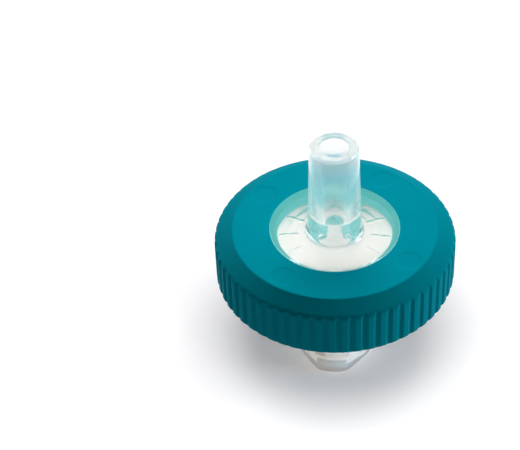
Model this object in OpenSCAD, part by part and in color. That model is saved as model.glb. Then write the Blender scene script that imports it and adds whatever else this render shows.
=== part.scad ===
// Overmoulded syringe filter, outlet upwards, in millimetres.
//
// Liquid flows up the Z axis. A syringe locks into the inlet hub at the bottom,
// liquid passes the membrane inside the ring and leaves through the nozzle.
// Z = 0 is the end face of the inlet hub, on which the filter stands.
// Two clear housings clamp the membrane between their flanges, and a coloured
// ring moulded round both flanges holds them shut for good.

/* [Sealing ring] */
// Diameter over the crests of the grip flutes
ring_d = 20; // [18.4:0.1:26]
// Height from the inlet face to the outlet face
ring_h = 5.3; // [4.2:0.1:8]
// Diameter of the window in each face
window_d = 10.7; // [10.2:0.1:12.8]
// Rounding of the window edges
window_round = 0.12; // [0.05:0.01:0.2]
// Radial width of the bevel round the outlet face
outlet_bevel_w = 1.5; // [0.3:0.1:2]
// Height of the bevel round the outlet face
outlet_bevel_h = 0.82; // [0.3:0.01:1.2]
// Radial width of the bevel round the inlet face
inlet_bevel_w = 0.75; // [0.3:0.05:1.5]
// Height of the bevel round the inlet face
inlet_bevel_h = 0.72; // [0.3:0.01:1.2]
// Number of grip flutes
flutes = 60; // [24:1:72]
// Depth of a flute at the crest diameter
flute_depth = 0.18; // [0.08:0.01:0.25]
// Width of a flute at the crest diameter
flute_w = 0.5; // [0.36:0.01:0.7]
// Angle of the first flute from X
flute_angle = 1.5; // [0:0.5:15]

/* [Ejector marks] */
// Number of ejector pin marks on the outlet face
marks = 4; // [1:1:8]
// Diameter of one mark
mark_d = 2; // [1:0.1:2.2]
// Radius of the circle that the marks lie on
mark_circle_r = 7.25; // [6.9:0.05:7.3]
// Depth of a mark
mark_depth = 0.03; // [0.01:0.01:0.1]
// Angle of the first mark from X
mark_angle = 55; // [0:1:90]

/* [Membrane] */
// Cut diameter of the membrane
membrane_d = 13; // [11.6:0.1:14.5]
// Thickness of the membrane
membrane_t = 0.15; // [0.1:0.01:0.2]
// Thickness of the rim that the flanges crush
rim_t = 0.05; // [0.03:0.01:0.08]
// Open filtering diameter inside the crushed rim
filter_d = 9.7; // [8:0.1:10]

/* [Housing flanges] */
// Outer diameter of both flanges inside the ring
flange_d = 17; // [15.6:0.1:17.4]
// Thickness of the outlet flange
outlet_flange_t = 0.9; // [0.6:0.1:1.2]
// Thickness of the inlet flange
inlet_flange_t = 1.2; // [0.6:0.1:1.4]
// Depth of the outlet window plate below the ring
outlet_recess = 0.35; // [0.2:0.05:0.6]
// Radial width of the sloped border between the window plate and the ring
window_slope_w = 0.5; // [0.2:0.05:0.8]
// Depth of the border's outer edge below the ring
window_lip = 0.05; // [0.02:0.01:0.15]
// Thickness of the outlet window plate
outlet_plate_t = 1.5; // [1.3:0.05:1.8]
// Thickness of the inlet window plate
inlet_plate_t = 1.6; // [1.5:0.05:2]
// Diameter of the raised pad round the inlet hub
pad_d = 9; // [8.6:0.1:9.8]
// Height of the raised pad
pad_h = 0.35; // [0.1:0.05:0.4]

/* [Outlet nozzle] */
// Diameter of the male taper at its tip
nozzle_tip_d = 4; // [3.9:0.01:4.9]
// Height of the tip above the ring
nozzle_h = 8.5; // [7:0.1:12]
// Rounding of the outer edge at the tip
tip_round = 0.28; // [0.1:0.01:0.35]
// Radial width of the fillet at the foot
nozzle_fillet_w = 0.35; // [0.2:0.05:0.6]
// Height of the fillet at the foot
nozzle_fillet_h = 0.8; // [0.3:0.05:1.2]
// Diameter of the bore at the tip
nozzle_bore_d = 2.4; // [1.8:0.1:2.6]
// Diameter of the bore at its inner end
nozzle_bore_end_d = 1.94; // [1.7:0.01:2.2]
// Height of the cone between the bore and the hole
seat_h = 1; // [0.3:0.1:2]
// Diameter of the hole between the bore and the collecting chamber
outlet_hole_d = 1.6; // [0.8:0.1:1.6]
// Length of the hole
outlet_hole_h = 0.6; // [0.3:0.1:1]
// Diameter of the collecting chamber above the membrane
chamber_d = 2.4; // [2:0.1:2.8]
// Height of the chamber's straight wall
chamber_h = 0.35; // [0.1:0.05:0.6]
// Height of the cone between the chamber and the hole
chamber_cone_h = 0.55; // [0.3:0.05:0.8]
// Rise of the plate's sloped underside, from the filter's edge to the chamber
funnel_h = 0.85; // [0.4:0.05:0.9]

/* [Support grid] */
// Depth of the channels in the sloped underside of the outlet plate
channel_depth = 0.08; // [0.04:0.01:0.3]
// Width of the ring channels
ring_channel_w = 0.4; // [0.3:0.05:0.45]
// Radial pitch of the ring channels
ring_channel_pitch = 0.85; // [0.7:0.05:0.9]
// Diameter of the middle that stays free of channels
channel_start_d = 5.8; // [4:0.1:6.4]
// Number of radial channels
radial_channels = 12; // [4:1:16]
// Width of a radial channel
radial_channel_w = 0.26; // [0.15:0.01:0.35]
// Angle of the first radial channel from X
radial_channel_angle = 28; // [0:1:30]

/* [Inlet hub] */
// Length of the hub below the ring
hub_h = 8.1; // [7:0.1:12]
// Diameter of the hub between the collar and the pad
hub_d = 6.2; // [5.9:0.1:6.5]
// Diameter of the collar at the mouth
collar_d = 6.7; // [6.6:0.1:6.9]
// Length of the collar
collar_h = 2.5; // [1.8:0.1:3]
// Rounding of the outer edge at the mouth
mouth_round = 0.2; // [0.1:0.05:0.3]
// Radius of the fillet at the foot of the hub
hub_fillet = 0.9; // [0.3:0.1:1.1]
// Diameter of the female taper at the mouth
socket_d = 4.3; // [4.27:0.01:4.6]
// Depth of the female taper
socket_depth = 7.5; // [6:0.1:7.8]
// Width of the lead-in chamfer of the socket
socket_lead = 0.15; // [0.05:0.05:0.3]
// Diameter of the hole between the socket and the membrane
inlet_hole_d = 1.3; // [0.8:0.1:1.6]
// Height of the shallow space that spreads liquid under the membrane
plenum_h = 0.25; // [0.15:0.05:0.35]

/* [Locking lugs] */
// Diameter over the two lugs
lug_d = 7.8; // [7.4:0.01:8.2]
// Width of a lug at its crest
lug_w = 2.6; // [1.6:0.1:3.4]
// Height of a lug at its crest
lug_crest_h = 1; // [0.5:0.1:1.2]
// Height of a lug at its root
lug_root_h = 2; // [1.3:0.1:2.4]
// Angle of the first lug from X
lug_angle = 85; // [0:1:180]

/* [Fits] */
// Clearance round the edges of the membrane
fit = 0.05; // [0.02:0.01:0.1]

/* [Hidden] */
$fn = 120;
arc_steps = 8;  // straight steps in one rounded corner of a section
cut = 1;        // how far a cutter runs past the face that it opens
lug_bite = 0.1; // how far inside the collar's circle the sides of a lug would touch it

luer_taper = 0.06;               // diameter lost per length on both tapers
luer_slope = luer_taper / 2;     // radius lost per length
flank_angle = atan(luer_slope);  // lean of a tapered wall

ring_r = ring_d / 2;
window_r = window_d / 2;
flange_r = flange_d / 2;
membrane_r = membrane_d / 2;
filter_r = filter_d / 2;
nozzle_tip_r = nozzle_tip_d / 2;
chamber_r = chamber_d / 2;
channel_start_r = channel_start_d / 2;
hub_r = hub_d / 2;
collar_r = collar_d / 2;
pad_r = pad_d / 2;
socket_r = socket_d / 2;
socket_end_r = socket_r - luer_slope * socket_depth;
lug_r = lug_d / 2;

// Heights, from the end face of the hub upwards
ring_bottom_z = hub_h;
ring_top_z = ring_bottom_z + ring_h;
tip_z = ring_top_z + nozzle_h;
outlet_plate_z = ring_top_z - outlet_recess;
parting_z = outlet_plate_z - outlet_plate_t;
outlet_flange_z = parting_z + outlet_flange_t;
membrane_bottom_z = parting_z - membrane_t;
rim_bottom_z = parting_z - rim_t;
plenum_floor_z = membrane_bottom_z - plenum_h;
inlet_flange_z = parting_z - inlet_flange_t;
inlet_plate_z = membrane_bottom_z - inlet_plate_t;
pad_z = inlet_plate_z - pad_h;
funnel_top_z = parting_z + funnel_h;
chamber_top_z = funnel_top_z + chamber_h;
hole_bottom_z = chamber_top_z + chamber_cone_h;
hole_top_z = hole_bottom_z + outlet_hole_h;
bore_end_z = hole_top_z + seat_h;
grid_r = filter_r - ring_channel_w / 2;  // middle of the outermost ring channel

// Radius of the male taper at height z
function nozzle_r(z) = nozzle_tip_r + luer_slope * (tip_z - z);

// Points on an arc about [x, z], from angle a0 to a1
function arc(x, z, r, a0, a1) =
    [for (i = [0 : arc_steps]) let (a = a0 + (a1 - a0) * i / arc_steps)
        [x + r * cos(a), z + r * sin(a)]];

// Concave arc that widens the nozzle's foot and ends in a corner at the window plate
function foot_fillet() =
    let (top_z = outlet_plate_z + nozzle_fillet_h,
         bow = (pow(nozzle_fillet_w, 2) + pow(nozzle_fillet_h, 2)) / (2 * nozzle_fillet_w))
    arc(nozzle_r(top_z) + bow, top_z, bow, 180 + asin(nozzle_fillet_h / bow), 180);

// One straight flute: a round bar that bites flute_depth into the crest circle
module flute_cutter() {
    bar_r = (pow(flute_w / 2, 2) + pow(flute_depth, 2)) / (2 * flute_depth);
    translate([ring_r - flute_depth + bar_r, 0, ring_bottom_z - cut])
        cylinder(r = bar_r, h = ring_h + 2 * cut, $fn = 32);
}

// Ring moulded round the flanges: a C section with bevelled, fluted rim
module overmould_ring() {
    color("#0092A6") difference() {
        rotate_extrude() polygon(concat(
            [[flange_r, inlet_flange_z], [window_r, inlet_flange_z]],
            arc(window_r + window_round, ring_bottom_z + window_round, window_round, 180, 270),
            [[ring_r - inlet_bevel_w, ring_bottom_z],
             [ring_r, ring_bottom_z + inlet_bevel_h],
             [ring_r, ring_top_z - outlet_bevel_h],
             [ring_r - outlet_bevel_w, ring_top_z]],
            arc(window_r + window_round, ring_top_z - window_round, window_round, 90, 180),
            [[window_r, outlet_flange_z], [flange_r, outlet_flange_z]]));
        for (i = [0 : flutes - 1])
            rotate([0, 0, flute_angle + i * 360 / flutes]) flute_cutter();
        for (i = [0 : marks - 1])
            rotate([0, 0, mark_angle + i * 360 / marks])
                translate([mark_circle_r, 0, ring_top_z - mark_depth])
                    cylinder(d = mark_d, h = cut, $fn = 48);
    }
}

// Shallow cone under the outlet plate, raised by the depth of what is cut into its slope
module funnel(raised) {
    rotate_extrude() polygon([
        [0, parting_z - cut], [filter_r, parting_z - cut], [filter_r, parting_z + raised],
        [chamber_r, funnel_top_z + raised], [0, funnel_top_z + raised]]);
}

// Ring channels and the spokes that join them, cut evenly deep into the slope of the funnel
module support_channels() {
    rings = floor((grid_r - channel_start_r) / ring_channel_pitch) + 1;
    reach = cut + funnel_h + channel_depth;
    intersection() {
        funnel(channel_depth);
        union() {
            for (i = [0 : rings - 1])
                rotate_extrude()
                    translate([grid_r - i * ring_channel_pitch - ring_channel_w / 2,
                               parting_z - cut])
                        square([ring_channel_w, reach]);
            for (i = [0 : radial_channels - 1])
                rotate([0, 0, radial_channel_angle + i * 360 / radial_channels])
                    translate([channel_start_r, -radial_channel_w / 2, parting_z - cut])
                        cube([grid_r - channel_start_r, radial_channel_w, reach]);
        }
    }
}

// Waterway from the membrane to the tip: chamber, hole and tapered bore
module waterway() {
    rotate_extrude() polygon([
        [0, parting_z - cut], [chamber_r, parting_z - cut], [chamber_r, chamber_top_z],
        [outlet_hole_d / 2, hole_bottom_z], [outlet_hole_d / 2, hole_top_z],
        [nozzle_bore_end_d / 2, bore_end_z], [nozzle_bore_d / 2, tip_z],
        [nozzle_bore_d / 2, tip_z + cut], [0, tip_z + cut]]);
}

// Clear outlet housing: flange, window plate and male taper, with its waterway
module outlet_housing() {
    color([0.9, 0.93, 0.93, 0.55]) difference() {
        rotate_extrude() polygon(concat(
            [[0, parting_z], [flange_r, parting_z], [flange_r, outlet_flange_z],
             [window_r, outlet_flange_z], [window_r, ring_top_z - window_lip],
             [window_r - window_slope_w, outlet_plate_z]],
            foot_fillet(),
            arc(nozzle_r(tip_z) - tip_round, tip_z - tip_round, tip_round, flank_angle, 90),
            [[0, tip_z]]));
        waterway();
        funnel(0);
        support_channels();
    }
}

// Membrane disc, crushed thin where the flanges clamp it
module membrane() {
    color("#F2F2F0") rotate_extrude() polygon([
        [0, membrane_bottom_z], [filter_r, membrane_bottom_z], [filter_r, rim_bottom_z],
        [membrane_r, rim_bottom_z], [membrane_r, parting_z], [0, parting_z]]);
}

// Two lugs at the mouth that turn into the collar of a locking syringe, with sides that lie almost
// along the collar
module locking_lugs() {
    side_r = collar_r - lug_bite;
    side_angle = asin(lug_w / 2 / lug_r) + acos(side_r / lug_r);
    for (side = [0, 180])
        rotate([0, 0, lug_angle + side])
            intersection() {
                rotate_extrude() polygon([
                    [hub_r, 0], [lug_r, 0], [lug_r, lug_crest_h],
                    [collar_r, lug_root_h], [hub_r, lug_root_h]]);
                linear_extrude(lug_root_h) polygon([
                    [0, 0], [side_r * cos(side_angle), -side_r * sin(side_angle)],
                    [side_r / cos(side_angle), 0],
                    [side_r * cos(side_angle), side_r * sin(side_angle)]]);
            }
}

// Female taper with its lead-in and rounded floor
module socket() {
    rotate_extrude() polygon(concat(
        [[0, -cut], [socket_r + socket_lead + cut, -cut],
         [socket_r - luer_slope * socket_lead, socket_lead]],
        arc(0, socket_depth, socket_end_r, 0, 90)));
}

// Clear inlet housing: hub with female taper and lugs, window plate and flange
module inlet_housing() {
    color([0.9, 0.93, 0.93, 0.55]) difference() {
        union() {
            rotate_extrude() polygon(concat(
                [[0, 0]],
                arc(collar_r - mouth_round, mouth_round, mouth_round, -90, 0),
                [[collar_r, collar_h], [hub_r, collar_h + collar_r - hub_r]],
                arc(hub_r + hub_fillet, pad_z - hub_fillet, hub_fillet, 180, 90),
                [[pad_r, pad_z], [pad_r, inlet_plate_z], [window_r, inlet_plate_z],
                 [window_r, inlet_flange_z], [flange_r, inlet_flange_z],
                 [flange_r, parting_z], [0, parting_z]]));
            locking_lugs();
        }
        socket();
        translate([0, 0, socket_depth])
            cylinder(d = inlet_hole_d, h = parting_z - socket_depth + cut, $fn = 48);
        translate([0, 0, plenum_floor_z])
            cylinder(r = filter_r + fit, h = parting_z - plenum_floor_z + cut);
        translate([0, 0, rim_bottom_z])
            cylinder(r = membrane_r + fit, h = rim_t + cut);
    }
}

overmould_ring();
outlet_housing();
membrane();
inlet_housing();
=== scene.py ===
"""Looks of an overmoulded syringe filter that stands on its inlet hub, outlet nozzle upwards.

Every piece is turned about the Z axis, as its mould was: an outline in radius and height is carried
round the axis, and a small function of the angle adds what isn't round, such as flutes, channels and
lugs. Lengths are in millimetres until a mesh is filled, which is in metres. The overall sizes come from
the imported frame, and the sizes inside a piece are the named values below.
"""

import math

import bpy
import numpy as np
from mathutils import Matrix, Vector


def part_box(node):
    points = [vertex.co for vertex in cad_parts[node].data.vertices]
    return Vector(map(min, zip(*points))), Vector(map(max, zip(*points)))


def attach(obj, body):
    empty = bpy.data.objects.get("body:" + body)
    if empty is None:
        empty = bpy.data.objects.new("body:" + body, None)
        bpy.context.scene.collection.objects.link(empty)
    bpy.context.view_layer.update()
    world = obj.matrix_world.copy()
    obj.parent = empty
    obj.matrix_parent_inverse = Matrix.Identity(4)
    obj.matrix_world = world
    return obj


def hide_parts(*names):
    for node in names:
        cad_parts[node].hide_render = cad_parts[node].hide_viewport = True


MM = 0.001

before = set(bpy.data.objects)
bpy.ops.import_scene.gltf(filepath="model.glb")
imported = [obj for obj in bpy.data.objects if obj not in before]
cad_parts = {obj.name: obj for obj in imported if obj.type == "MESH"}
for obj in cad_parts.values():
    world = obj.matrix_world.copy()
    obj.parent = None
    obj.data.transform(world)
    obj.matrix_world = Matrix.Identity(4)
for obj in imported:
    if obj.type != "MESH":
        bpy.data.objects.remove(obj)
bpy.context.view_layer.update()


def size_of(node):
    """Radius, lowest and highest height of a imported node, in millimetres."""
    lowest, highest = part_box(node)
    return highest.x / MM, lowest.z / MM, highest.z / MM


# ---------------------------------------------------------------- sizes, in millimetres and degrees

RING_R, RING_BOTTOM, RING_TOP = size_of("overmould_ring")
FLANGE_R, PARTING, TIP = size_of("outlet_housing")
MEMBRANE_R, MEMBRANE_BOTTOM, MEMBRANE_TOP = size_of("membrane")

BOND = 0.01  # how far moulded-on plastic bites into what it is bonded to, so no film of air shows between
EPS = 0.001  # slack when a height is compared with a face's own height
ROUNDING_STEP = 9  # degrees that one facet of a rounded corner may turn

# Sealing ring
WINDOW_R = 5.35
OUTLET_BEVEL_W, OUTLET_BEVEL_H = 1.5, 0.82
INLET_BEVEL_W, INLET_BEVEL_H = 0.75, 0.72
FLUTES, FLUTE_W, FLUTE_DEPTH, FLUTE_ANGLE = 60, 0.5, 0.18, 1.5
FLUTE_ROUND = 0.1  # softness of the ridge between a flute and the rim
FLUTED_W = 0.5  # width of each bevel's outer part, where flutes run out and the rows are fine
MARKS, MARK_R, MARK_CIRCLE_R, MARK_DEPTH, MARK_ANGLE = 4, 1.0, 7.25, 0.03, 55
MARK_EDGE = 0.16  # half the width over which a mark's step sinks
OUTLET_FLANGE_TOP = PARTING + 0.9
INLET_FLANGE_BOTTOM = PARTING - 1.2

# Outlet housing
OUTLET_PLATE_TOP = RING_TOP - 0.35
WINDOW_LIP = RING_TOP - 0.05
WINDOW_SLOPE_W = 0.5
NOZZLE_TIP_R = 2.0
LUER_SLOPE = 0.03  # radius that a syringe taper loses per millimetre
FOOT_W, FOOT_H = 0.35, 0.8
TIP_ROUND = 0.28
BORE_R, BORE_DEPTH, BORE_END_R = 1.2, 7.0, 0.97
SEAT_H = 1.0  # height of the cone between the bore and the hole
HOLE_R = 0.8
CHAMBER_H, CHAMBER_CONE_H = 0.35, 0.55  # straight and conical part of the chamber under the hole
FUNNEL_R, FUNNEL_H = 1.2, 0.85  # where the sloped underside of the plate meets the chamber

# Support grid under the outlet plate
FILTER_R = 4.85
CHANNEL_DEPTH = 0.045
RING_CHANNELS, RING_CHANNEL_W, RING_CHANNEL_PITCH = 3, 0.4, 0.85
RING_DEPTH_SHARE = 0.3  # of the spokes' depth, so that the rings are only just visible
CHANNEL_START_R = 2.9
CHANNEL_EDGE = 0.12  # half the width over which a channel sinks
RADIAL_CHANNELS, RADIAL_CHANNEL_W, RADIAL_CHANNEL_ANGLE = 12, 0.26, 28
GRID_R = FILTER_R - RING_CHANNEL_W / 2

# Inlet housing
INLET_PLATE_BOTTOM = MEMBRANE_BOTTOM - 1.6
PAD_R, PAD_H = 4.5, 0.35
HUB_R, HUB_FILLET = 3.1, 0.9
COLLAR_R, COLLAR_H = 3.35, 2.5
SOCKET_R, SOCKET_DEPTH, SOCKET_LEAD = 2.15, 7.5, 0.15
SOCKET_END_R = SOCKET_R - LUER_SLOPE * SOCKET_DEPTH
INLET_HOLE_R = 0.65
PLENUM_H = 0.25
POCKET_FIT = 0.05
RIM_T = 0.05
LUG_R, LUG_W, LUG_CREST, LUG_ROOT, LUG_ANGLE = 3.9, 2.6, 1.0, 2.0, 85
LUG_SIDE_R = COLLAR_R - 0.1  # circle that the sides of a lug would touch
LUG_ROUND = 0.25  # softness of a lug's long edges

# Haze of the clear plastic: how much light it scatters per millimetre, and where that changes
HAZE_FOOT, HAZE_TIP, HAZE_HUB = 0.06, 0.26, 0.6
HAZE_FOOT_Z = OUTLET_PLATE_TOP + 0.5
HAZE_HUB_Z = 3.0
# The nozzle's blue milk is painted light: the ring's teal light scattered in it
WHITE_FROM_Z, WHITE_TO_Z = TIP - 2.0, TIP - 0.7  # where the nozzle's milk turns from blue to white
CORE_R, CORE_END_R = 2.3, 2.6  # the nozzle lies inside, the plates and most of the hub's wall outside

# Levels of the room, on a scale where 1 is white
FLOOR_TONE = 0.45  # what the floor throws back at the filter
FLOOR_WHITE = 1.05  # what the eye sees of a fully lit floor
FLOOR_GLOW = 0.27  # the part of that which stays in the deepest shadow
ROOM_LEVEL = 0.05
LAMP_DISTANCE = 0.3  # metres


# ---------------------------------------------------------------- outlines and turned surfaces


def corner(r, z, rounding=0.0, step=math.inf):
    """One corner of an outline: its rounding radius, and the row spacing on the side that leaves it."""
    return r, z, rounding, step


def arc(r, z, radius, start, end, count):
    """Corners along an arc about (r, z), from one angle to another in degrees, with count facets."""
    angles = np.radians(np.linspace(start, end, count + 1))
    return [corner(r + radius * c, z + radius * s) for c, s in zip(np.cos(angles), np.sin(angles))]


def outline(corners, closed=True):
    """Rows of (r, z) along an outline that runs anticlockwise, so the plastic is on its left.

    A rounded corner becomes the arc that touches both its sides: with an inside angle a, the arc starts
    rounding / tan(a / 2) before the corner and its centre lies rounding / sin(a / 2) along the bisector.
    """
    points = np.array([c[:2] for c in corners])
    rounds = []
    for i, (_, _, rounding, _) in enumerate(corners):
        here = points[i]
        back = points[i - 1] - here
        ahead = points[(i + 1) % len(points)] - here
        if rounding == 0:
            rounds.append(here[None])
            continue
        back /= np.linalg.norm(back)
        ahead /= np.linalg.norm(ahead)
        half = math.acos(np.clip(back @ ahead, -1, 1)) / 2
        bisector = (back + ahead) / np.linalg.norm(back + ahead)
        centre = here + bisector * rounding / math.sin(half)
        first = here + back * rounding / math.tan(half) - centre
        bend = math.pi - 2 * half
        count = max(2, math.ceil(math.degrees(bend) / ROUNDING_STEP))
        way = math.copysign(1, back[1] * ahead[0] - back[0] * ahead[1])
        angles = math.atan2(first[1], first[0]) + way * bend * np.arange(count + 1) / count
        rounds.append(centre + rounding * np.stack([np.cos(angles), np.sin(angles)], 1))
    rows = []
    for i, (_, _, _, step) in enumerate(corners):
        rows.append(rounds[i])
        if i == len(corners) - 1 and not closed:
            break
        start, end = rounds[i][-1], rounds[(i + 1) % len(corners)][0]
        pieces = max(1, math.ceil(np.linalg.norm(end - start) / step))
        share = np.arange(1, pieces)[:, None] / pieces
        rows.append(start + (end - start) * share)
    return np.concatenate(rows)


def columns(repeats, first, stops, counts):
    """Angles round the axis, for a pattern that repeats, with its first middle at an angle in degrees.

    Each repeat is cut at the stops, in degrees from its middle, and the stretch between two stops is cut
    into its count of columns.
    """
    cell = np.concatenate([
        np.linspace(a, b, n, endpoint=False) for a, b, n in zip(stops[:-1], stops[1:], counts)
    ])
    starts = first + np.arange(repeats) * 360 / repeats
    return np.radians((starts[:, None] + cell).ravel())


def turned(name, rows, turn, shape=None, poles=False):
    """Mesh of the points (r cos t, r sin t, z) for every row (r, z) and every column angle t.

    shape(r, z, t) may move r and z first. The last row joins the first one, or with poles both of them
    close on the axis. Each normal is the cross product of the differences between a point's neighbours
    along the row and across the rows, so a wide flat keeps its own normal beside a small rounding.
    """
    r = np.repeat(rows[:, :1], len(turn), axis=1)
    z = np.repeat(rows[:, 1:], len(turn), axis=1)
    t = np.broadcast_to(turn, r.shape)
    if shape:
        r, z = shape(r, z, t)
    grid = np.stack([r * np.cos(t), r * np.sin(t), z], axis=-1) * MM
    along = np.roll(grid, -1, axis=1) - np.roll(grid, 1, axis=1)
    across = np.roll(grid, -1, axis=0) - np.roll(grid, 1, axis=0)
    if poles:
        across[0] = grid[1] - grid[0]
        across[-1] = grid[-1] - grid[-2]
    normals = np.cross(along, across)
    normals /= np.linalg.norm(normals, axis=-1, keepdims=True)

    place = np.arange(r.size).reshape(r.shape)
    ahead = np.roll(place, -1, axis=1)
    last = len(rows) - 1 if poles else len(rows)
    below, above = place[:last], np.roll(place, -1, axis=0)[:last]
    faces = np.stack([below, ahead[:last], np.roll(ahead, -1, axis=0)[:last], above], axis=-1)
    faces = faces.reshape(-1, 4).tolist()
    points, normals = grid.reshape(-1, 3), normals.reshape(-1, 3)
    if poles:
        bottom, top = len(points), len(points) + 1
        ends = [[0, 0, grid[0, 0, 2]], [0, 0, grid[-1, 0, 2]]]
        points = np.concatenate([points, ends])
        normals = np.concatenate([normals, [[0, 0, -1], [0, 0, 1]]])
        faces += np.stack([ahead[0], place[0], np.full(len(turn), bottom)], axis=-1).tolist()
        faces += np.stack([place[-1], ahead[-1], np.full(len(turn), top)], axis=-1).tolist()

    mesh = bpy.data.meshes.new(name)
    mesh.from_pydata(points.tolist(), [], faces)
    mesh.polygons.foreach_set("use_smooth", np.ones(len(mesh.polygons), bool))
    mesh.normals_split_custom_set_from_vertices(normals.tolist())
    piece = bpy.data.objects.new(name, mesh)
    bpy.context.scene.collection.objects.link(piece)
    return piece


def smooth_step(value, edge):
    """0 below -edge, 1 above edge, and the curve 3 x^2 - 2 x^3 between them."""
    x = np.clip(value / edge / 2 + 0.5, 0, 1)
    return x * x * (3 - 2 * x)


def soft_least(a, b, width):
    """The lower of a and b, rounded over where they cross: less by width / 4 there."""
    h = np.clip(0.5 + (b - a) / (2 * width), 0, 1)
    return b + (a - b) * h - width * h * (1 - h)


def off_nearest(turn, repeats, first):
    """Angle to the nearest of the evenly spaced repeats, in radians."""
    cell = 2 * math.pi / repeats
    return (turn - math.radians(first) + cell / 2) % cell - cell / 2


# ---------------------------------------------------------------- the pieces


def ring_shape(r, z, turn):
    """Flutes and ejector marks of the ring.

    A flute is a straight round bar pressed into the rim: with the bar's middle at radius m, its surface
    stands at m cos a - sqrt(b^2 - m^2 sin^2 a), for a bar of radius b at angle a from its middle.
    A mark is a shallow round step in the outlet face, and its edge follows smooth_step.
    """
    bar_r = ((FLUTE_W / 2) ** 2 + FLUTE_DEPTH**2) / (2 * FLUTE_DEPTH)
    middle = RING_R - FLUTE_DEPTH + bar_r
    a = off_nearest(turn, FLUTES, FLUTE_ANGLE)
    inside = np.clip(bar_r**2 - (middle * np.sin(a)) ** 2, 0, None)
    fluted = soft_least(r, middle * np.cos(a) - np.sqrt(inside), FLUTE_ROUND)
    r = np.where(r > RING_R - 2 * FLUTE_DEPTH, fluted, r)

    b = off_nearest(turn, MARKS, MARK_ANGLE)
    distance = np.hypot(r * np.cos(b) - MARK_CIRCLE_R, r * np.sin(b))
    dent = MARK_DEPTH * smooth_step(MARK_R - distance, MARK_EDGE)
    on_face = z > RING_TOP - EPS
    return r, z - np.where(on_face, dent, 0)


def make_ring():
    """Ring with a C section that grips both flanges. Its faces inside bite into the housings."""
    fluted_r = RING_R - FLUTED_W
    inlet_rim = RING_BOTTOM + INLET_BEVEL_H * (fluted_r - RING_R + INLET_BEVEL_W) / INLET_BEVEL_W
    outlet_rim = RING_TOP - OUTLET_BEVEL_H * (fluted_r - RING_R + OUTLET_BEVEL_W) / OUTLET_BEVEL_W
    mark_inside = MARK_CIRCLE_R - MARK_R - MARK_EDGE
    mark_outside = MARK_CIRCLE_R + MARK_R + MARK_EDGE
    wall = WINDOW_R - BOND
    rows = outline([
        corner(FLANGE_R - BOND, INLET_FLANGE_BOTTOM + BOND),
        corner(wall, INLET_FLANGE_BOTTOM + BOND, step=1),
        corner(wall, RING_BOTTOM, 0.12, step=1),
        corner(RING_R - INLET_BEVEL_W, RING_BOTTOM, 0.15),
        corner(fluted_r, inlet_rim, step=0.12),
        corner(RING_R, RING_BOTTOM + INLET_BEVEL_H, 0.3, step=0.8),
        corner(RING_R, RING_TOP - OUTLET_BEVEL_H, 0.6, step=0.036),
        corner(fluted_r, outlet_rim, step=0.35),
        corner(RING_R - OUTLET_BEVEL_W, RING_TOP, 0.3, step=0.1),
        corner(mark_outside, RING_TOP, step=0.1),
        corner(mark_inside, RING_TOP, step=0.3),
        corner(wall, RING_TOP, 0.12, step=0.5),
        corner(wall, OUTLET_FLANGE_TOP - BOND),
        corner(FLANGE_R - BOND, OUTLET_FLANGE_TOP - BOND),
    ])
    turn = columns(FLUTES, FLUTE_ANGLE, [-3, -1.7, 1.7, 3], [2, 12, 2])
    return turned("ring", rows, turn, ring_shape)


def support_grid(r, z, turn):
    """Shallow channels in the underside of the outlet plate: rings, and spokes that join them."""
    nearest = np.round((GRID_R - r) / RING_CHANNEL_PITCH).clip(0, RING_CHANNELS - 1)
    from_ring = np.abs(GRID_R - nearest * RING_CHANNEL_PITCH - r)
    rings = RING_DEPTH_SHARE * smooth_step(RING_CHANNEL_W / 2 - from_ring, CHANNEL_EDGE)
    a = off_nearest(turn, RADIAL_CHANNELS, RADIAL_CHANNEL_ANGLE)
    spokes = smooth_step(RADIAL_CHANNEL_W / 2 - np.abs(r * np.sin(a)), CHANNEL_EDGE)
    spokes *= smooth_step(GRID_R - r, CHANNEL_EDGE) * smooth_step(r - CHANNEL_START_R, CHANNEL_EDGE)
    underside = (z < PARTING + FUNNEL_H + EPS) & (r < FILTER_R) & (r > FUNNEL_R + 0.1)
    return r, z + np.where(underside, CHANNEL_DEPTH * np.maximum(rings, spokes), 0)


def make_outlet_housing():
    """Flange, window plate and male taper in one moulding, with its waterway and the support grid.

    The plate's underside rises as a shallow funnel to a chamber, and a narrow hole leads on to the bore.
    The nozzle's foot, of width w and height h, is an arc of radius (w^2 + h^2) / 2w that is upright where
    it meets the taper.
    """
    foot_top = OUTLET_PLATE_TOP + FOOT_H
    foot_r = NOZZLE_TIP_R + LUER_SLOPE * (TIP - foot_top)
    bow = (FOOT_W**2 + FOOT_H**2) / (2 * FOOT_W)
    bore_floor = TIP - BORE_DEPTH
    funnel_top = PARTING + FUNNEL_H
    chamber_top = funnel_top + CHAMBER_H
    rows = outline([
        corner(FUNNEL_R, funnel_top, step=0.05),
        corner(FILTER_R, PARTING),
        corner(FLANGE_R, PARTING),
        corner(FLANGE_R, OUTLET_FLANGE_TOP),
        corner(WINDOW_R, OUTLET_FLANGE_TOP),
        corner(WINDOW_R, WINDOW_LIP, 0.02, step=0.2),
        corner(WINDOW_R - WINDOW_SLOPE_W, OUTLET_PLATE_TOP, 0.4, step=0.6),
        *arc(foot_r + bow, foot_top, bow, 180 + math.degrees(math.asin(FOOT_H / bow)), 180, 8),
        corner(NOZZLE_TIP_R, TIP, TIP_ROUND, step=0.1),
        corner(BORE_R, TIP, 0.12, step=1),
        corner(BORE_END_R, bore_floor, 0.1),
        corner(HOLE_R, bore_floor - SEAT_H),
        corner(HOLE_R, chamber_top + CHAMBER_CONE_H),
        corner(FUNNEL_R, chamber_top),
    ])
    turn = columns(RADIAL_CHANNELS, RADIAL_CHANNEL_ANGLE, [-15, -3.5, 3.5, 15], [9, 24, 9])
    return turned("outlet_housing", rows, turn, support_grid)


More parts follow.
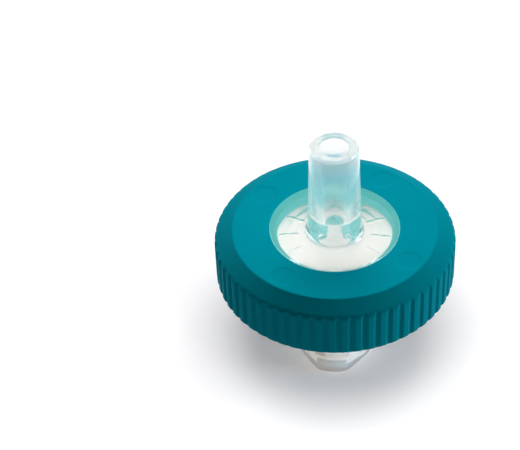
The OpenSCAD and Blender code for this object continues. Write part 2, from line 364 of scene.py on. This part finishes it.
def make_membrane():
    """White disc, full thickness inside the filter radius and crushed to a thin film round its rim."""
    rows = outline([
        corner(0.5, MEMBRANE_BOTTOM, step=0.5),
        corner(FILTER_R, MEMBRANE_BOTTOM, 0.03),
        corner(FILTER_R, MEMBRANE_TOP - RIM_T - BOND / 2),
        corner(MEMBRANE_R, MEMBRANE_TOP - RIM_T - BOND / 2),
        corner(MEMBRANE_R, MEMBRANE_TOP + BOND / 2, step=0.5),
        corner(FILTER_R, MEMBRANE_TOP + BOND / 2),
        corner(FILTER_R, MEMBRANE_TOP - BOND, step=0.5),
        corner(0.5, MEMBRANE_TOP - BOND),
    ], closed=False)
    turn = columns(1, 0, [0, 360], [144])
    return turned("membrane_disc", rows, turn, poles=True)


def hub_shape(r, z, turn):
    """Two locking lugs at the mouth: slices of a wider collar between two flat sides.

    A side would touch a circle of radius c just inside the collar, at angle s from the lug's middle. At
    angle a from the middle it stands at c / cos(a - s) from the axis.
    """
    a = np.abs(off_nearest(turn, 2, LUG_ANGLE))
    touch = math.asin(LUG_W / 2 / LUG_R) + math.acos(LUG_SIDE_R / LUG_R)
    side = np.where(a < touch, LUG_SIDE_R / np.maximum(np.cos(a - touch), 0.5), 0)
    crest = np.interp(z, [LUG_CREST, LUG_ROOT], [LUG_R, COLLAR_R])
    lug = soft_least(crest, side, LUG_ROUND)
    outside = (r > HUB_R) & (z < LUG_ROOT) | (r > COLLAR_R - LUG_ROUND) & (z < EPS)
    return np.where(outside, np.maximum(r, lug), r), z


def make_inlet_housing():
    """Hub with female taper and lugs, raised pad, window plate and flange in one moulding."""
    pad_bottom = INLET_PLATE_BOTTOM - PAD_H
    dome_top = math.degrees(math.acos(INLET_HOLE_R / SOCKET_END_R))
    lead_r = SOCKET_R - LUER_SLOPE * SOCKET_LEAD
    rows = outline([
        corner(SOCKET_R + SOCKET_LEAD, 0, 0.04, step=0.2),
        corner(COLLAR_R, 0, 0.2, step=0.1),
        corner(COLLAR_R, COLLAR_H, 0.05),
        corner(HUB_R, COLLAR_H + COLLAR_R - HUB_R, 0.1, step=1),
        corner(HUB_R, pad_bottom, HUB_FILLET, step=0.2),
        corner(PAD_R, pad_bottom, 0.08),
        corner(PAD_R, INLET_PLATE_BOTTOM, 0.05, step=0.3),
        corner(WINDOW_R, INLET_PLATE_BOTTOM, 0.05),
        corner(WINDOW_R, INLET_FLANGE_BOTTOM),
        corner(FLANGE_R, INLET_FLANGE_BOTTOM),
        corner(FLANGE_R, PARTING - BOND),
        corner(MEMBRANE_R + POCKET_FIT, PARTING - BOND),
        corner(MEMBRANE_R + POCKET_FIT, PARTING - RIM_T, step=0.5),
        corner(FILTER_R + POCKET_FIT, PARTING - RIM_T),
        corner(FILTER_R + POCKET_FIT, MEMBRANE_BOTTOM - PLENUM_H, 0.05, step=0.5),
        corner(INLET_HOLE_R, MEMBRANE_BOTTOM - PLENUM_H, 0.05, step=0.5),
        *arc(0, SOCKET_DEPTH, SOCKET_END_R, dome_top, 0, 14),
        corner(lead_r, SOCKET_LEAD, 0.05),
    ])
    turn = columns(2, LUG_ANGLE, [-90, -44, -12, 12, 44, 90], [30, 40, 14, 40, 30])
    return turned("inlet_housing", rows, turn, hub_shape)


def bonded_to_clear(r, z):
    """Faces that clear plastic is bonded to: the groove round the flanges, and the window's wall."""
    top = np.where(r < WINDOW_R + 0.1, RING_TOP - 0.01, WINDOW_LIP)
    return (r < FLANGE_R) & (z > INLET_FLANGE_BOTTOM) & (z < top)


def crushed_rim(r, z):
    """Faces of the membrane's rim, between the flanges."""
    return (r > FILTER_R) & (z > MEMBRANE_BOTTOM)


def use_second_material(piece, choose):
    """Gives the second material to the faces that choose picks by their middle's radius and height."""
    middle = np.empty(len(piece.data.polygons) * 3)
    piece.data.polygons.foreach_get("center", middle)
    x, y, z = middle.reshape(-1, 3).T / MM
    chosen = choose(np.hypot(x, y), z)
    piece.data.polygons.foreach_set("material_index", chosen.astype(np.int32))


# ---------------------------------------------------------------- materials


def linear(hex_colour):
    """sRGB hex to linear RGBA: ((c + 0.055) / 1.055)^2.4 above 0.04045, c / 12.92 below."""
    values = [int(hex_colour[i:i + 2], 16) / 255 for i in (1, 3, 5)]
    return [((c + 0.055) / 1.055) ** 2.4 if c > 0.04045 else c / 12.92 for c in values] + [1]


def add_node(tree, kind, sockets=None, **settings):
    """Adds one node. Settings are its own properties, and sockets maps an input's name or number to a
    plain value or to the output that feeds it."""
    node = tree.nodes.new(kind)
    for name, value in settings.items():
        setattr(node, name, value)
    for name, value in (sockets or {}).items():
        if isinstance(value, bpy.types.NodeSocket):
            tree.links.new(value, node.inputs[name])
        else:
            node.inputs[name].default_value = value
    return node


def new_material(name):
    """An empty material with its output node, and the object coordinates that its patterns read."""
    material = bpy.data.materials.new(name)
    material.use_nodes = True
    tree = material.node_tree
    tree.nodes.clear()
    output = add_node(tree, "ShaderNodeOutputMaterial")
    where = add_node(tree, "ShaderNodeTexCoord").outputs["Object"]
    return material, tree, output, where


def place_on_axis(tree, where):
    """Distance from the Z axis and height above the floor, both in metres."""
    height = add_node(tree, "ShaderNodeSeparateXYZ", {"Vector": where}).outputs["Z"]
    across = add_node(tree, "ShaderNodeVectorMath", {0: where, 1: (1, 1, 0)}, operation="MULTIPLY")
    reach = add_node(tree, "ShaderNodeVectorMath", {0: across.outputs["Vector"]}, operation="LENGTH")
    return reach.outputs["Value"], height


def per_metre(size_mm):
    """Noise scale at which one blotch is about this wide."""
    return 1 / (size_mm * MM)


def moulded_polypropylene():
    """Coloured polypropylene, injection moulded in a finely blasted tool: satin, deep in colour, with
    slow changes of tone where the melt flowed. The outlet bevel carries painted shade: a darker teal than
    the face.
    """
    material, tree, output, where = new_material("teal polypropylene, satin moulded")
    flow = add_node(tree, "ShaderNodeTexNoise", {
        "Vector": where, "Scale": per_metre(7), "Detail": 1.5, "Roughness": 0.4,
    })
    tone = add_node(tree, "ShaderNodeMix", {
        "Factor": flow.outputs["Fac"], "A": linear("#008DA2"), "B": linear("#0099AA"),
    }, data_type="RGBA")
    reach, height = place_on_axis(tree, where)
    # Painted shade: the outlet bevel, found by its radius and height, takes a darker teal all round
    face_r, rim_z = RING_R - OUTLET_BEVEL_W, RING_TOP - OUTLET_BEVEL_H
    past_face = add_node(tree, "ShaderNodeMapRange", {
        "Value": reach, "From Min": (face_r - 0.1) * MM, "From Max": (face_r + 0.1) * MM,
    })
    past_rim = add_node(tree, "ShaderNodeMapRange", {
        "Value": height, "From Min": (rim_z - 0.1) * MM, "From Max": (rim_z + 0.2) * MM,
    })
    bevel = add_node(tree, "ShaderNodeMath", {
        0: past_face.outputs["Result"], 1: past_rim.outputs["Result"],
    }, operation="MULTIPLY")
    shade = add_node(tree, "ShaderNodeMix", {
        "Factor": bevel.outputs[0], "A": tone.outputs["Result"], "B": linear("#008292"),
    }, data_type="RGBA")
    # Grit of the blasting, drawn as coarse as it needs to show
    grain = add_node(tree, "ShaderNodeTexNoise", {
        "Vector": where, "Scale": per_metre(0.12), "Detail": 2.0, "Roughness": 0.6,
    })
    bump = add_node(tree, "ShaderNodeBump", {
        "Height": grain.outputs["Fac"], "Strength": 0.12, "Distance": 0.02 * MM,
    })
    shader = add_node(tree, "ShaderNodeBsdfPrincipled", {
        "Base Color": shade.outputs["Result"], "Roughness": 0.6, "IOR": 1.49,
        "Specular IOR Level": 0.01, "Specular Tint": linear("#4FC4D0"),
        "Normal": bump.outputs["Normal"],
    })
    tree.links.new(shader.outputs[0], output.inputs["Surface"])
    return material


def natural_polypropylene():
    """Uncoloured polypropylene, moulded against polished steel: glossy, and slightly milky because its
    crystals scatter light. The milk tells it from glass: it is thin at the nozzle's foot, thicker and
    whiter towards the tip, and thickest in the hub.
    """
    material, tree, output, where = new_material("natural polypropylene, polished mould")
    reach, height = place_on_axis(tree, where)
    core = add_node(tree, "ShaderNodeMapRange", {
        "Value": reach, "From Min": CORE_R * MM, "From Max": CORE_END_R * MM,
        "To Min": 1.0, "To Max": 0.0,
    })
    ripple = add_node(tree, "ShaderNodeTexNoise", {
        "Vector": where, "Scale": per_metre(1.5), "Detail": 1.0,
    })
    bump = add_node(tree, "ShaderNodeBump", {
        "Height": ripple.outputs["Fac"], "Strength": 0.1, "Distance": 0.05 * MM,
    })
    shader = add_node(tree, "ShaderNodeBsdfPrincipled", {
        "Base Color": linear("#F8F8F7"), "Roughness": 0.1, "IOR": 1.49, "Transmission Weight": 1.0,
        "Normal": bump.outputs["Normal"],
    })
    # Lamps shine through: the tall nozzle holds back more of their light than the thin plates do
    rays = add_node(tree, "ShaderNodeLightPath")
    passed = add_node(tree, "ShaderNodeMix", {
        "Factor": core.outputs["Result"], "A": linear("#F4F3F2"), "B": linear("#DADCDC"),
    }, data_type="RGBA")
    clear = add_node(tree, "ShaderNodeBsdfTransparent", {"Color": passed.outputs["Result"]})
    surface = add_node(tree, "ShaderNodeMixShader", {
        0: rays.outputs["Is Shadow Ray"], 1: shader.outputs[0], 2: clear.outputs[0],
    })
    tree.links.new(surface.outputs[0], output.inputs["Surface"])
    near_tip = add_node(tree, "ShaderNodeMapRange", {
        "Value": height, "From Min": WHITE_FROM_Z * MM, "From Max": WHITE_TO_Z * MM,
    })
    hub = add_node(tree, "ShaderNodeMapRange", {
        "Value": height, "From Min": RING_BOTTOM * MM, "From Max": HAZE_HUB_Z * MM,
    })
    ends = add_node(tree, "ShaderNodeMath", {
        0: near_tip.outputs["Result"], 1: hub.outputs["Result"],
    }, operation="MAXIMUM")
    # Near the axis the milk is pale blue, and white at both ends. The pale blue is painted light: the
    # ring's teal light scattered in the milk. Outside, the plates are white and the hub's wall is blue.
    core_hue_painted_ring_light = add_node(tree, "ShaderNodeMix", {
        "Factor": ends.outputs[0], "A": linear("#ACEBF9"), "B": linear("#FCF6F2"),
    }, data_type="RGBA")
    outer_hue = add_node(tree, "ShaderNodeMix", {
        "Factor": hub.outputs["Result"], "A": linear("#F6F4F2"), "B": linear("#8ECBF0"),
    }, data_type="RGBA")
    tint = add_node(tree, "ShaderNodeMix", {
        "Factor": core.outputs["Result"],
        "A": outer_hue.outputs["Result"], "B": core_hue_painted_ring_light.outputs["Result"],
    }, data_type="RGBA")
    nozzle_milk = add_node(tree, "ShaderNodeMapRange", {
        "Value": height, "From Min": HAZE_FOOT_Z * MM, "From Max": TIP * MM,
        "To Min": HAZE_FOOT / MM, "To Max": HAZE_TIP / MM,
    })
    hub_milk = add_node(tree, "ShaderNodeMath", {
        0: hub.outputs["Result"], 1: HAZE_HUB / MM,
    }, operation="MULTIPLY")
    density = add_node(tree, "ShaderNodeMath", {
        0: nozzle_milk.outputs["Result"], 1: hub_milk.outputs[0],
    }, operation="MAXIMUM")
    haze = add_node(tree, "ShaderNodeVolumeScatter", {
        "Color": tint.outputs["Result"], "Density": density.outputs[0], "Anisotropy": 0.2,
    })
    tree.links.new(haze.outputs[0], output.inputs["Volume"])
    return material


def microporous_film():
    """Cast polymer membrane: dead matt white, with a faint grain from its pores."""
    material, tree, output, where = new_material("cast polymer membrane, microporous")
    pores = add_node(tree, "ShaderNodeTexNoise", {
        "Vector": where, "Scale": per_metre(0.15), "Detail": 3.0, "Roughness": 0.7,
    })
    tone = add_node(tree, "ShaderNodeMix", {
        "Factor": pores.outputs["Fac"], "A": linear("#EEE7E4"), "B": linear("#F6EFEC"),
    }, data_type="RGBA")
    bump = add_node(tree, "ShaderNodeBump", {
        "Height": pores.outputs["Fac"], "Strength": 0.2, "Distance": 0.01 * MM,
    })
    shader = add_node(tree, "ShaderNodeBsdfPrincipled", {
        "Base Color": tone.outputs["Result"], "Roughness": 0.9, "Specular IOR Level": 0.1,
        "Normal": bump.outputs["Normal"],
    })
    tree.links.new(shader.outputs[0], output.inputs["Surface"])
    return material


def teal_with_painted_glow():
    """Teal plastic that clear plastic is bonded to, and the membrane's rim crushed between the flanges.
    Both carry a painted glow, a teal emission in place of the light that clear plastic would spread along
    them, so they don't lie in shadow.
    """
    material, tree, output, where = new_material("teal polypropylene with painted glow")
    # Painted glow: the emission colour, in soft teal blotches
    blotches = add_node(tree, "ShaderNodeTexNoise", {
        "Vector": where, "Scale": per_metre(1.5), "Detail": 1.5,
    })
    tone = add_node(tree, "ShaderNodeMix", {
        "Factor": blotches.outputs["Fac"], "A": linear("#50B1AC"), "B": linear("#66BAB4"),
    }, data_type="RGBA")
    shader = add_node(tree, "ShaderNodeBsdfPrincipled", {
        "Base Color": linear("#00505A"), "Roughness": 0.9, "Specular IOR Level": 0.0,
        "Emission Color": tone.outputs["Result"], "Emission Strength": 1.0,
    })
    tree.links.new(shader.outputs[0], output.inputs["Surface"])
    return material


# ---------------------------------------------------------------- room, lamps and camera


def seen_directly(tree):
    """1 for rays from the eye, also by way of a mirror or through clear plastic, and 0 for light that has
    been scattered by a matt surface or by haze on its way."""
    rays = add_node(tree, "ShaderNodeLightPath")
    mirror = add_node(tree, "ShaderNodeMath", {
        0: rays.outputs["Is Camera Ray"], 1: rays.outputs["Is Glossy Ray"],
    }, operation="MAXIMUM")
    both = add_node(tree, "ShaderNodeMath", {
        0: mirror.outputs[0], 1: rays.outputs["Is Transmission Ray"],
    }, operation="MAXIMUM")
    turns = add_node(tree, "ShaderNodeMath", {
        0: rays.outputs["Ray Depth"], 1: rays.outputs["Glossy Depth"],
    }, operation="SUBTRACT")
    scattered = add_node(tree, "ShaderNodeMath", {
        0: turns.outputs[0], 1: rays.outputs["Transmission Depth"],
    }, operation="SUBTRACT")
    unscattered = add_node(tree, "ShaderNodeMath", {
        0: scattered.outputs[0], 1: 0.5,
    }, operation="LESS_THAN")
    return add_node(tree, "ShaderNodeMath", {
        0: both.outputs[0], 1: unscattered.outputs[0],
    }, operation="MULTIPLY").outputs[0]


def make_floor():
    """Plain white sheet under the filter. The eye sees it white where the floor lamps reach it and grey
    in the shadow, and the filter gets only weak light back from it.
    """
    half = 1.5
    mesh = bpy.data.meshes.new("floor")
    corners = [(-half, -half, 0), (half, -half, 0), (half, half, 0), (-half, half, 0)]
    mesh.from_pydata(corners, [], [(0, 1, 2, 3)])
    floor = bpy.data.objects.new("floor", mesh)
    bpy.context.scene.collection.objects.link(floor)
    material, tree, output, _ = new_material("white floor sheet")
    seen = seen_directly(tree)
    tone = add_node(tree, "ShaderNodeMix", {
        "Factor": seen, "A": [FLOOR_TONE] * 3 + [1], "B": [FLOOR_WHITE - FLOOR_GLOW] * 3 + [1],
    }, data_type="RGBA")
    glow = add_node(tree, "ShaderNodeMath", {0: seen, 1: FLOOR_GLOW}, operation="MULTIPLY")
    shader = add_node(tree, "ShaderNodeBsdfPrincipled", {
        "Base Color": tone.outputs["Result"], "Roughness": 1.0, "Specular IOR Level": 0.0,
        "Emission Color": [1.01, 0.95, 0.99, 1], "Emission Strength": glow.outputs[0],
    })
    tree.links.new(shader.outputs[0], output.inputs["Surface"])
    mesh.materials.append(material)
    return floor


def make_world():
    """Pale room: weak all-round light on the filter, plain white where the eye sees it."""
    world = bpy.data.worlds.new("studio")
    bpy.context.scene.world = world
    world.use_nodes = True
    tree = world.node_tree
    tree.nodes.clear()
    tone = add_node(tree, "ShaderNodeMix", {
        "Factor": seen_directly(tree), "A": [ROOM_LEVEL] * 3 + [1], "B": [1, 1, 1, 1],
    }, data_type="RGBA")
    background = add_node(tree, "ShaderNodeBackground", {"Color": tone.outputs["Result"], "Strength": 1})
    output = add_node(tree, "ShaderNodeOutputWorld")
    tree.links.new(background.outputs[0], output.inputs["Surface"])


def softbox(name, azimuth, elevation, level, width, lit, shiny=True):
    """Square soft lamp that faces the ring and lights only the objects in lit.

    Azimuth 0 is behind the filter and 90 on its right. At distance d a lamp of power pi^2 d^2 makes a
    white surface that faces it look exactly white, and level scales that. A lamp that isn't shiny gives
    light, but shows in no gloss and through no clear plastic.
    """
    lamp = bpy.data.lights.new(name, "AREA")
    lamp.shape = "SQUARE"
    lamp.size = width
    lamp.energy = level * math.pi**2 * LAMP_DISTANCE**2
    holder = bpy.data.objects.new(name, lamp)
    bpy.context.scene.collection.objects.link(holder)
    a, e = math.radians(azimuth), math.radians(elevation)
    way = Vector((math.sin(a) * math.cos(e), math.cos(a) * math.cos(e), math.sin(e)))
    target = Vector((0, 0, RING_TOP * MM))
    facing = way.to_track_quat("Z", "Y").to_matrix().to_4x4()
    holder.matrix_world = Matrix.Translation(target + way * LAMP_DISTANCE) @ facing
    group = bpy.data.collections.new(name + "_lights")
    for thing in lit:
        group.objects.link(thing)
    holder.light_linking.receiver_collection = group
    holder.visible_glossy = shiny
    holder.visible_transmission = shiny


def make_camera():
    """Camera that looks down on the filter and holds it right of the middle of the frame.

    It stands in front of the ring's outlet face and above it, and looks at a point a little left of that
    face's middle.
    """
    elevation = math.radians(42.06)
    distance = 130.7
    beside, above = 6.17, 0.17
    roll = math.radians(0.43)
    right = Vector((1, 0, 0))
    up = Vector((0, math.sin(elevation), math.cos(elevation)))
    away = right.cross(up)
    place = Vector((0, 0, RING_TOP)) + away * distance
    look = (up * above - right * beside - away * distance).normalized()
    right = look.cross(up).normalized()
    up = right.cross(look)
    camera = bpy.data.cameras.new("camera")
    camera.lens = 109.4
    camera.sensor_width = 36
    camera.clip_start = 0.01
    holder = bpy.data.objects.new("camera", camera)
    bpy.context.scene.collection.objects.link(holder)
    aim = Matrix((right, up, -look)).transposed().to_4x4()
    holder.matrix_world = Matrix.Translation(place * MM) @ aim @ Matrix.Rotation(-roll, 4, "Z")
    bpy.context.scene.camera = holder


# ---------------------------------------------------------------- the filter

ring = make_ring()
outlet_housing = make_outlet_housing()
membrane = make_membrane()
inlet_housing = make_inlet_housing()

clear_plastic = natural_polypropylene()
painted_glow_material = teal_with_painted_glow()
ring.data.materials.append(moulded_polypropylene())
ring.data.materials.append(painted_glow_material)
outlet_housing.data.materials.append(clear_plastic)
inlet_housing.data.materials.append(clear_plastic)
membrane.data.materials.append(microporous_film())
membrane.data.materials.append(painted_glow_material)
# The bonded faces and the membrane's crushed rim take the second material, the painted glow
use_second_material(ring, bonded_to_clear)
use_second_material(membrane, crushed_rim)

for piece, node, slot in (
    (ring, "overmould_ring", "ring_plastic"),
    (outlet_housing, "outlet_housing", "clear_housing"),
    (membrane, "membrane", "filter_membrane"),
    (inlet_housing, "inlet_housing", "clear_housing"),
):
    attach(piece, "root")
    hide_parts(node)

# ---------------------------------------------------------------- the studio

floor = make_floor()
make_world()
filter_pieces = (ring, outlet_housing, membrane, inlet_housing)

# Ring: its face is bright, and the front of its rim lies in shade
softbox("key_lamp", 0, 40, 1.14, 0.25, [ring], shiny=False)
softbox("side_key_lamp", 40, 35, 0.24, 0.2, [ring], shiny=False)
# Every piece: low lamps that brighten the edges on both sides
softbox("right_lamp", 90, 8, 0.48, 0.12, filter_pieces)
softbox("left_lamp", -53, 8, 0.32, 0.12, filter_pieces)
# Nozzle: light through it from behind, and a small spark on its right
softbox("back_lamp", 0, 15, 0.25, 0.12, [outlet_housing])
softbox("spark_lamp", 90, 29, 0.15, 0.03, [outlet_housing])
# Floor: a wide soft shadow under the ring, and a faint one to its left
softbox("top_lamp", 180, 81, 1.22, 0.235, [floor])
softbox("low_floor_lamp", 90, 25, 0.25, 0.06, [floor])
# What lies under or inside other pieces: the hub, the membrane, and the milk of the nozzle
softbox("hub_lamp", 75, 20, 2.5, 0.12, [inlet_housing], shiny=False)
softbox("window_lamp", 0, 50, 0.8, 0.12, [membrane], shiny=False)
softbox("front_window_lamp", 180, 60, 0.78, 0.12, [membrane], shiny=False)
softbox("haze_lamp", 180, 45, 3.9, 0.15, [outlet_housing], shiny=False)

make_camera()
bpy.context.scene.view_settings.view_transform = "Standard"
bpy.context.scene.cycles.volume_bounces = 4
